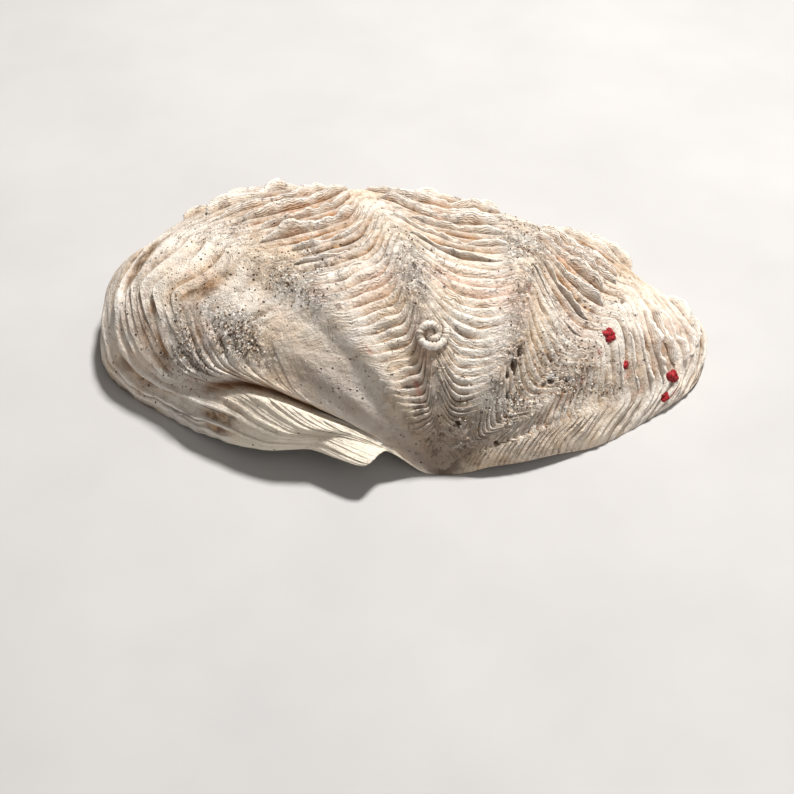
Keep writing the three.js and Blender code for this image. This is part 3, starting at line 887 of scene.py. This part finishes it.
def crumb_material():
    material, tree, shader = new_material("crumb_grit", 0.2)
    black = (0.10, 0.06, 0.04, 1)
    brown = (0.28, 0.18, 0.11, 1)
    tan = (0.60, 0.49, 0.38, 1)
    white = (0.84, 0.79, 0.72, 1)
    dust = (0.22, 0.14, 0.09, 1)
    kind = measured(tree, "crumb_kind")
    colour = blend(tree, steps(tree, kind, 0.24, 0.30), black, brown)
    colour = blend(tree, steps(tree, kind, 0.48, 0.54), colour, tan)
    colour = blend(tree, steps(tree, kind, 0.70, 0.76), colour, white)
    colour = blend(tree, clouds(tree, 0.7, 4, 0.45, 0.65, 0.0, 0.6), colour, dust)
    tree.links.new(colour, shader.inputs["Base Color"])
    tree.links.new(clouds(tree, 1.0, 3, 0.3, 0.7, 0.75, 0.95), shader.inputs["Roughness"])
    add_bump(tree, shader, grain(tree, 0.6, 4, 0.7), 0.0003, 0.7)
    return material


# scatters crumbs on a surface, as thick as its gritty and pitted masks say
def crumb_tree(material):
    tree = bpy.data.node_groups.new("scatter_crumbs", "GeometryNodeTree")
    face = tree.interface
    face.new_socket("Surface", in_out="INPUT", socket_type="NodeSocketGeometry")
    face.new_socket("Density", in_out="INPUT", socket_type="NodeSocketFloat")
    face.new_socket("Radius", in_out="INPUT", socket_type="NodeSocketFloat")
    face.new_socket("Crumbs", in_out="OUTPUT", socket_type="NodeSocketGeometry")
    entry = tree.nodes.new("NodeGroupInput")
    leave = tree.nodes.new("NodeGroupOutput")

    def node(kind, **values):
        made = tree.nodes.new(kind)
        for name, value in values.items():
            feed(tree, made.inputs[name], value)
        return made

    def mask(name):
        made = node("GeometryNodeInputNamedAttribute", Name=name)
        made.data_type = "FLOAT"
        return made.outputs[0]

    def random_number(low, high, seed):
        made = node("FunctionNodeRandomValue", Seed=seed)
        made.data_type = "FLOAT"
        made.inputs[2].default_value = low
        made.inputs[3].default_value = high
        return made.outputs[1]

    gritty = product(tree, mask("grit"), mask("grit"))
    thick = sums(tree, "ADD", gritty, product(tree, mask("pitted"), 0.035))
    scatter = node("GeometryNodeDistributePointsOnFaces", Mesh=entry.outputs["Surface"], Seed=7,
                   Density=product(tree, thick, entry.outputs["Density"]))
    stone = node("GeometryNodeMeshIcoSphere", Radius=entry.outputs["Radius"], Subdivisions=1)
    shape = tree.nodes.new("ShaderNodeCombineXYZ")
    for axis in range(3):
        feed(tree, shape.inputs[axis], random_number(0.5, 1.9, 3 + axis))
    placed = node("GeometryNodeInstanceOnPoints", Points=scatter.outputs["Points"],
                  Instance=stone.outputs["Mesh"], Rotation=scatter.outputs["Rotation"],
                  Scale=shape.outputs[0])
    kind = tree.nodes.new("GeometryNodeStoreNamedAttribute")
    kind.data_type = "FLOAT"
    kind.domain = "INSTANCE"
    kind.inputs["Name"].default_value = "crumb_kind"
    feed(tree, kind.inputs["Geometry"], placed.outputs["Instances"])
    feed(tree, kind.inputs["Value"], random_number(0.0, 1.0, 11))
    joined = node("GeometryNodeRealizeInstances", Geometry=kind.outputs["Geometry"])
    finish = node("GeometryNodeSetMaterial", Geometry=joined.outputs["Geometry"], Material=material)
    feed(tree, leave.inputs["Crumbs"], finish.outputs["Geometry"])
    return tree, {item.name: item.identifier for item in face.items_tree if item.in_out == "INPUT"}


def lime_crumbs():
    material = crumb_material()
    tree, sockets = crumb_tree(material)
    carrier = bpy.data.objects.new("crumb_carrier", valve.data)
    bpy.context.scene.collection.objects.link(carrier)
    modifier = carrier.modifiers.new("scatter", "NODES")
    modifier.node_group = tree
    modifier[sockets["Density"]] = crumbs_per_square_metre
    modifier[sockets["Radius"]] = crumb_radius / 1000
    grown = carrier.evaluated_get(bpy.context.evaluated_depsgraph_get())
    mesh = bpy.data.meshes.new_from_object(grown)
    bpy.data.objects.remove(carrier)

    # the scattered stones bring an empty material slot of their own
    mesh.materials.clear()
    mesh.materials.append(material)
    mesh.polygons.foreach_set("material_index", np.zeros(len(mesh.polygons), np.int32))
    mesh.update()
    place_piece("lime_crumbs", mesh, "valve")


lime_crumbs()

# -----------------------------------------------------------------
# Worm tube: the limy tube of a small worm, coiled and cemented to the middle
# ridge not far from the beak.  A ripple along it marks each pause in growth.
tube_place = (6.88, 0.245)
tube_turns = 1.45
tube_heart_radius = 1.1
tube_coil_radius = 6.3
tube_thickness = 1.7
tube_rings = 150
tube_sides = 14
tube_tail = 6.5

shell_tree = BVHTree.FromObject(valve, bpy.context.evaluated_depsgraph_get())


# a spot on the finished valve: the point, the way out of it, and two ways along it
def seat(fold, growth):
    point, normal = plain_surface(np.array([fold]), np.array([growth]))
    normal = Vector(normal[0])
    start = Vector(metres(point)[0]) + normal * 0.012
    hit = shell_tree.ray_cast(start, -normal)[0]
    across = Vector((0, 0, 1)).cross(normal).normalized()
    return hit * 1000, normal, across, normal.cross(across)


# drops a point given in millimetres in the row frame on to the valve
def drop(point, normal):
    hit = shell_tree.ray_cast((point + normal * 12) / 1000, -normal)[0]
    return hit * 1000 if hit else point


def from_row_frame(points):
    return np.array([tuple(p) for p in points]) - np.array([*valve_shift, 0.0])


def worm_material():
    material, tree, shader = new_material("worm_lime", 0.25)
    lime = (0.80, 0.75, 0.69, 1)
    beige = (0.52, 0.42, 0.33, 1)
    shadow = (0.20, 0.13, 0.09, 1)
    speck_brown = (0.07, 0.04, 0.03, 1)
    colour = blend(tree, clouds(tree, 5, 5, 0.4, 0.65), lime, beige)
    colour = blend(tree, product(tree, measured(tree, "low"), 0.75), colour, shadow)
    specks = pits(tree, 0.35, 1.1)
    colour = blend(tree, product(tree, specks, 0.9), colour, speck_brown)
    tree.links.new(colour, shader.inputs["Base Color"])
    tree.links.new(clouds(tree, 2, 4, 0.3, 0.7, 0.6, 0.9), shader.inputs["Roughness"])
    bumps = sums(tree, "SUBTRACT", grain(tree, 1.1, 5, 0.7), specks)
    add_bump(tree, shader, bumps, 0.0005, 0.9)
    return material


def worm_tube():
    centre, normal, across, along = seat(*tube_place)
    path, widths = [], []
    coil_rings = int(tube_rings * 0.8)
    for k in range(coil_rings):
        share = k / (coil_rings - 1)
        turn = 2 * math.pi * tube_turns * share - math.pi * 0.9
        radius = tube_heart_radius + (tube_coil_radius - tube_heart_radius) * share**0.8
        path.append(centre + across * radius * math.cos(turn) + along * radius * 0.95 * math.sin(turn))
        widths.append(tube_thickness * (0.75 + 0.25 * share))
    heading = (path[-1] - path[-2]).normalized()
    for k in range(tube_rings - coil_rings):
        share = (k + 1) / (tube_rings - coil_rings)
        way = heading * (1 - 0.4 * share) + across * (-0.25 * share)
        path.append(path[coil_rings - 1] + way * tube_tail * share)
        widths.append(tube_thickness * (1 - 0.65 * share))

    # the tube lies on the lamellae, and evens out their steps
    seated = [drop(p, normal) + normal * (0.55 * w) for p, w in zip(path, widths)]
    reach = 4
    smooth_path = []
    for k in range(len(seated)):
        window = seated[max(0, k - reach):k + reach + 1]
        smooth_path.append(sum(window, Vector()) / len(window))

    ripple = np.random.default_rng(21).uniform(-0.1, 0.1, tube_rings)
    points, low = [], []
    for k, place in enumerate(smooth_path):
        ahead = smooth_path[min(k + 1, tube_rings - 1)] - smooth_path[max(k - 1, 0)]
        sideways = ahead.cross(normal).normalized()
        ring = widths[k] * (1 + 0.10 * math.cos(k * 1.25) + ripple[k])
        for side in range(tube_sides):
            turn = 2 * math.pi * side / tube_sides
            points.append(place + sideways * ring * math.cos(turn) + normal * ring * math.sin(turn))
            low.append(max(0.0, -math.sin(turn) * 0.8 + 0.25))
    faces = []
    for k in range(tube_rings - 1):
        for side in range(tube_sides):
            after = (side + 1) % tube_sides
            near, far = k * tube_sides, (k + 1) * tube_sides
            faces.append((near + side, far + side, far + after, near + after))
    faces.append(tuple(range(tube_sides)))
    faces.append(tuple((tube_rings - 1) * tube_sides + side for side in range(tube_sides))[::-1])
    new_piece("worm_coil", from_row_frame(points), faces, worm_material(),
              "worm_tube", {"low": low})


worm_tube()

# -----------------------------------------------------------------
# Red crusts: four small colonies of a crimson reef animal.  Each is a knobbly
# limy crust that grew flat on the valve and hugs the lamellae under it.
red_crusts = [
    # node, fold, growth, radius, height, seed
    ("red_crust_upper", 2.95, 0.573, 2.9, 1.5, 3),
    ("red_crust_lower", 1.10, 0.787, 3.2, 1.7, 8),
    ("red_crust_edge", 0.60, 0.820, 2.0, 1.0, 5),
    ("red_crust_small", 2.18, 0.590, 1.7, 1.3, 11),
]


def crust_material():
    material, tree, shader = new_material("crimson_crust", 0.3)
    crimson = (0.42, 0.012, 0.02, 1)
    dark = (0.20, 0.006, 0.012, 1)
    pale = (0.62, 0.16, 0.12, 1)
    pit = (0.06, 0.004, 0.006, 1)
    colour = blend(tree, clouds(tree, 1.6, 4, 0.4, 0.6), crimson, dark)
    colour = blend(tree, clouds(tree, 0.9, 4, 0.58, 0.66, 0.0, 0.6), colour, pale)
    colour = blend(tree, product(tree, pits(tree, 0.4, 0.8), 0.8), colour, pit)
    tree.links.new(colour, shader.inputs["Base Color"])
    tree.links.new(clouds(tree, 1.5, 4, 0.3, 0.7, 0.5, 0.8), shader.inputs["Roughness"])
    add_bump(tree, shader, grain(tree, 0.8, 5, 0.7), 0.0004, 0.9)
    return material


# rings of points from the middle outwards; the last two sink into the valve
def red_crust(node, fold, growth, radius, height, seed, material):
    centre, normal, across, along = seat(fold, growth)
    sides, rings = 56, 16
    points = [drop(centre, normal) + normal * height * 0.8]
    for ring in range(1, rings + 1):
        for side in range(sides):
            turn = 2 * math.pi * side / sides
            compass = np.array([[math.cos(turn), math.sin(turn), 0.0]])
            spread = 1 + 0.28 * lumps(compass, 0.7, seed)[0] + 0.12 * lumps(compass, 0.25, seed + 1)[0]
            spread = radius * spread
            share = min(1.0, ring / (rings - 2))
            flat = centre + (across * math.cos(turn) + along * math.sin(turn)) * spread * share
            knobs = lumps(np.array([tuple(flat)]), 1.0, seed + 2)[0]
            rise = height * (1 - share**3) * (0.8 + 0.5 * knobs)
            sunk = -0.5 * max(0, ring - rings + 2)
            points.append(drop(flat, normal) + normal * (rise + sunk))
    faces = [(0, 1 + side, 1 + (side + 1) % sides) for side in range(sides)]
    for ring in range(rings - 1):
        for side in range(sides):
            after = (side + 1) % sides
            start = 1 + ring * sides
            faces.append((start + side, start + sides + side, start + sides + after, start + after))
    last = 1 + (rings - 1) * sides
    faces.append(tuple(last + side for side in range(sides))[::-1])
    name = "crust_" + node.split("_")[-1]
    new_piece(name, from_row_frame(points), faces, material, node, {})


crust_crimson = crust_material()
for crust in red_crusts:
    red_crust(*crust, crust_crimson)

# -----------------------------------------------------------------
# Stage: plain pale floor, a soft studio light from above, behind and to the
# right, a faint fill from the front, and a camera that looks down on the beak.
view_distance = 0.603
view_height_angle = math.radians(45)
focal_length = 61.75
sensor_width = 36
floor_half_width = 3.0
sky_colour = (1.0, 0.97, 0.93, 1)
sky_strength = 0.2


def pale_floor():
    mesh = bpy.data.meshes.new("floor")
    corners = [(-1, -1), (1, -1), (1, 1), (-1, 1)]
    points = [(x * floor_half_width, y * floor_half_width, 0) for x, y in corners]
    mesh.from_pydata(points, [], [(0, 1, 2, 3)])
    material, tree, shader = new_material("floor_paper", 0.5)
    grey = (0.46, 0.45, 0.45, 1)
    pale = (0.50, 0.49, 0.485, 1)
    tone = blend(tree, clouds(tree, 90, 3, 0.3, 0.7), grey, pale)
    tree.links.new(tone, shader.inputs["Base Color"])
    shader.inputs["Roughness"].default_value = 0.9
    mesh.materials.append(material)
    floor = bpy.data.objects.new("floor", mesh)
    bpy.context.scene.collection.objects.link(floor)


def soft_light(name, place, size, power, colour):
    data = bpy.data.lights.new(name, "AREA")
    data.shape = "DISK"
    data.size = size
    data.energy = power
    data.color = colour
    light = bpy.data.objects.new(name, data)
    light.location = place
    light.rotation_euler = (-Vector(place)).to_track_quat("-Z", "Y").to_euler()
    bpy.context.scene.collection.objects.link(light)


pale_floor()
soft_light("key_light", place=(0.30, 0.40, 1.3), size=0.24, power=31, colour=(1.0, 0.98, 0.95))
soft_light("fill_light", place=(0.5, -0.9, 0.9), size=1.2, power=3, colour=(1.0, 0.95, 0.90))

world = bpy.data.worlds.new("studio")
world.use_nodes = True
sky = world.node_tree.nodes["Background"]
sky.inputs["Color"].default_value = sky_colour
sky.inputs["Strength"].default_value = sky_strength
bpy.context.scene.world = world

target = Vector((valve_shift[0] / 1000, valve_shift[1] / 1000, 0))
camera_data = bpy.data.cameras.new("camera")
camera_data.lens = focal_length
camera_data.sensor_width = sensor_width
camera = bpy.data.objects.new("camera", camera_data)
reach = Vector((0, -math.cos(view_height_angle), math.sin(view_height_angle))) * view_distance
camera.location = target + reach
camera.rotation_euler = (-reach).to_track_quat("-Z", "Y").to_euler()
bpy.context.scene.collection.objects.link(camera)
bpy.context.scene.camera = camera
bpy.context.scene.view_settings.view_transform = "Standard"
